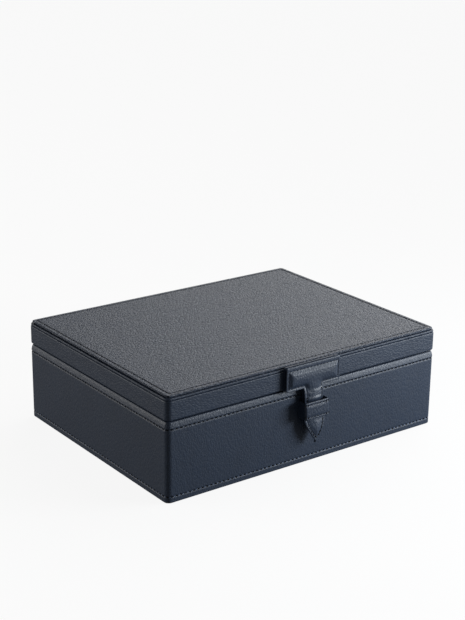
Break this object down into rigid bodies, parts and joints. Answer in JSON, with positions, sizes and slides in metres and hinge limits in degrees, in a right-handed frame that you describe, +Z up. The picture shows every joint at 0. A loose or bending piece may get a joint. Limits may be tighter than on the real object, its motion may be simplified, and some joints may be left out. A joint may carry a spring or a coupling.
{
  "type": "leather jewellery case",
  "caption": "Leather-covered jewellery case with a hinged lid, a T-shaped tab that slides into a keeper, and a lift-out ring tray over lined compartments.",
  "frame": {"origin": "middle of the case's plan, on the surface that the felt underside rests on", "axes": "+X to the right along the front, -Y out of the front where the tab is, +Z up"},
  "size_m": [0.26, 0.2146, 0.083],
  "materials": {
    "navy_leather": "grained, semi-matt",
    "suede_lining": "short brushed nap",
    "board": "raw fibreboard",
    "felt": "pressed felt",
    "brass": "brushed",
    "mirror": "polished"
  },
  "bodies": {
    "base": {"base_leather_wrap": "navy_leather", "base_bottom_board": "board", "base_front_board": "board", "base_back_board": "board", "base_left_board": "board", "base_right_board": "board", "underside_felt": "felt", "tab_keeper": "navy_leather", "base_hinge_leaf_left": "brass", "base_hinge_leaf_right": "brass", "base_hinge_screw_left_1": "brass", "base_hinge_screw_left_2": "brass", "base_hinge_screw_right_1": "brass", "base_hinge_screw_right_2": "brass", "hinge_pin_left": "brass", "hinge_pin_right": "brass", "floor_pad": "suede_lining", "liner_front": "suede_lining", "liner_back": "suede_lining", "liner_left": "suede_lining", "liner_right": "suede_lining", "lower_divider_long": "suede_lining", "lower_divider_short": "suede_lining"},
    "tray": {"tray_floor": "suede_lining", "tray_wall_front": "suede_lining", "tray_wall_back": "suede_lining", "tray_wall_left": "suede_lining", "tray_wall_right": "suede_lining", "tray_divider_long": "suede_lining", "tray_divider_left": "suede_lining", "tray_divider_right": "suede_lining", "ring_roll_1": "suede_lining", "ring_roll_2": "suede_lining", "ring_roll_3": "suede_lining", "ring_roll_4": "suede_lining", "ring_roll_5": "suede_lining", "tray_pull_left": "navy_leather", "tray_pull_right": "navy_leather"},
    "lid": {"lid_leather_band": "navy_leather", "lid_top_board": "board", "lid_front_board": "board", "lid_back_board": "board", "lid_left_board": "board", "lid_right_board": "board", "lid_top_leather": "navy_leather", "lid_top_card": "board", "lid_hinge_leaf_left": "brass", "lid_hinge_leaf_right": "brass", "lid_hinge_screw_left_1": "brass", "lid_hinge_screw_left_2": "brass", "lid_hinge_screw_right_1": "brass", "lid_hinge_screw_right_2": "brass", "lid_lining_pad": "suede_lining", "lid_mirror": "mirror", "tab_bar_back": "navy_leather", "tab_bar_front": "navy_leather", "tab_bar_filler": "felt"},
    "tongue": {"tongue_back": "navy_leather", "tongue_front": "navy_leather", "tongue_filler": "felt"}
  },
  "joints": [
    {"name": "lid_hinge", "type": "hinge", "parent": "base", "child": "lid", "pos_m": [0, 0.1016, 0.0633], "axis": [-1, 0, 0], "range_deg": [0, 95]},
    {"name": "tongue_flex", "type": "hinge", "parent": "lid", "child": "tongue", "pos_m": [0, -0.1016, 0.06295], "axis": [-1, 0, 0], "range_deg": [-38, 0]},
    {"name": "tray_lift", "type": "slide", "parent": "base", "child": "tray", "axis": [0, 0, 1], "range_m": [0, 0.008]}
  ],
  "couplings": [
    {"joint": "tongue_flex", "follows": "lid_hinge", "ratio": -0.4}
  ]
}
